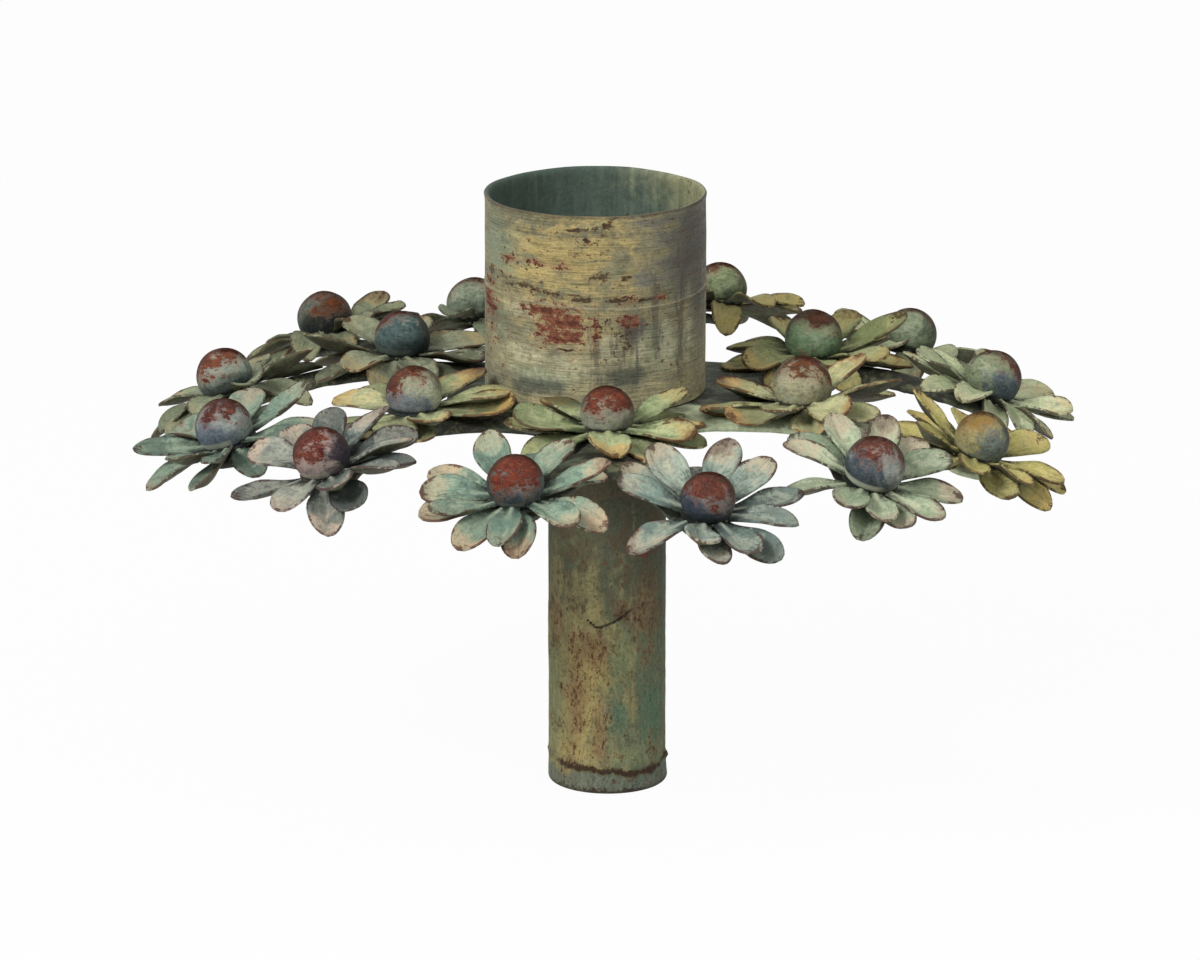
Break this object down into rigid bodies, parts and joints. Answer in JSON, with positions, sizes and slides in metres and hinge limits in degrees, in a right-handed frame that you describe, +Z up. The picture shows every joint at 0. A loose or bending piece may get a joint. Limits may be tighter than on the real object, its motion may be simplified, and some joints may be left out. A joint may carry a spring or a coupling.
{
  "type": "bottle candle holder",
  "caption": "Round candle cup on a stem that stands in a bottle's neck, ringed by a drooping wreath of layered sheet-metal flowers.",
  "frame": {"origin": "centre of the stem's closed lower end", "axes": "+Z up along the stem towards the candle cup, -Y towards the pictured front"},
  "size_m": [0.1793, 0.1792, 0.1155],
  "materials": {
    "cup_patina": "brushed khaki and sage patina with rust-red patches, matt",
    "stem_patina": "olive patina with brown upright streaks, matt",
    "frame_patina": "dark green and slate patina, matt",
    "petal_verdigris": "grey-green verdigris with worn brown edges, matt",
    "petal_ochre": "green verdigris with ochre tips and worn brown edges, matt",
    "bead_rust": "rust red over grey-green, speckled, matt"
  },
  "bodies": {
    "root": {"candle_cup": "cup_patina", "cup_floor": "cup_patina", "stem_tube": "stem_patina", "stem_end_cap": "stem_patina", "wreath_frame": "frame_patina", "inner_flower_1_lower_petals": "petal_ochre", "inner_flower_1_upper_petals": "petal_ochre", "inner_flower_1_bead": "bead_rust", "outer_flower_1a_lower_petals": "petal_verdigris", "outer_flower_1a_upper_petals": "petal_verdigris", "outer_flower_1a_bead": "bead_rust", "outer_flower_1b_lower_petals": "petal_verdigris", "outer_flower_1b_upper_petals": "petal_verdigris", "outer_flower_1b_bead": "bead_rust", "inner_flower_2_lower_petals": "petal_ochre", "inner_flower_2_upper_petals": "petal_ochre", "inner_flower_2_bead": "bead_rust", "outer_flower_2a_lower_petals": "petal_verdigris", "outer_flower_2a_upper_petals": "petal_verdigris", "outer_flower_2a_bead": "bead_rust", "outer_flower_2b_lower_petals": "petal_verdigris", "outer_flower_2b_upper_petals": "petal_verdigris", "outer_flower_2b_bead": "bead_rust", "inner_flower_3_lower_petals": "petal_ochre", "inner_flower_3_upper_petals": "petal_ochre", "inner_flower_3_bead": "bead_rust", "outer_flower_3a_lower_petals": "petal_verdigris", "outer_flower_3a_upper_petals": "petal_verdigris", "outer_flower_3a_bead": "bead_rust", "outer_flower_3b_lower_petals": "petal_verdigris", "outer_flower_3b_upper_petals": "petal_verdigris", "outer_flower_3b_bead": "bead_rust", "inner_flower_4_lower_petals": "petal_ochre", "inner_flower_4_upper_petals": "petal_ochre", "inner_flower_4_bead": "bead_rust", "outer_flower_4a_lower_petals": "petal_verdigris", "outer_flower_4a_upper_petals": "petal_verdigris", "outer_flower_4a_bead": "bead_rust", "outer_flower_4b_lower_petals": "petal_verdigris", "outer_flower_4b_upper_petals": "petal_verdigris", "outer_flower_4b_bead": "bead_rust", "inner_flower_5_lower_petals": "petal_ochre", "inner_flower_5_upper_petals": "petal_ochre", "inner_flower_5_bead": "bead_rust", "outer_flower_5a_lower_petals": "petal_verdigris", "outer_flower_5a_upper_petals": "petal_verdigris", "outer_flower_5a_bead": "bead_rust", "outer_flower_5b_lower_petals": "petal_verdigris", "outer_flower_5b_upper_petals": "petal_verdigris", "outer_flower_5b_bead": "bead_rust", "inner_flower_6_lower_petals": "petal_ochre", "inner_flower_6_upper_petals": "petal_ochre", "inner_flower_6_bead": "bead_rust", "outer_flower_6a_lower_petals": "petal_verdigris", "outer_flower_6a_upper_petals": "petal_verdigris", "outer_flower_6a_bead": "bead_rust", "outer_flower_6b_lower_petals": "petal_verdigris", "outer_flower_6b_upper_petals": "petal_verdigris", "outer_flower_6b_bead": "bead_rust"}
  },
  "joints": []
}
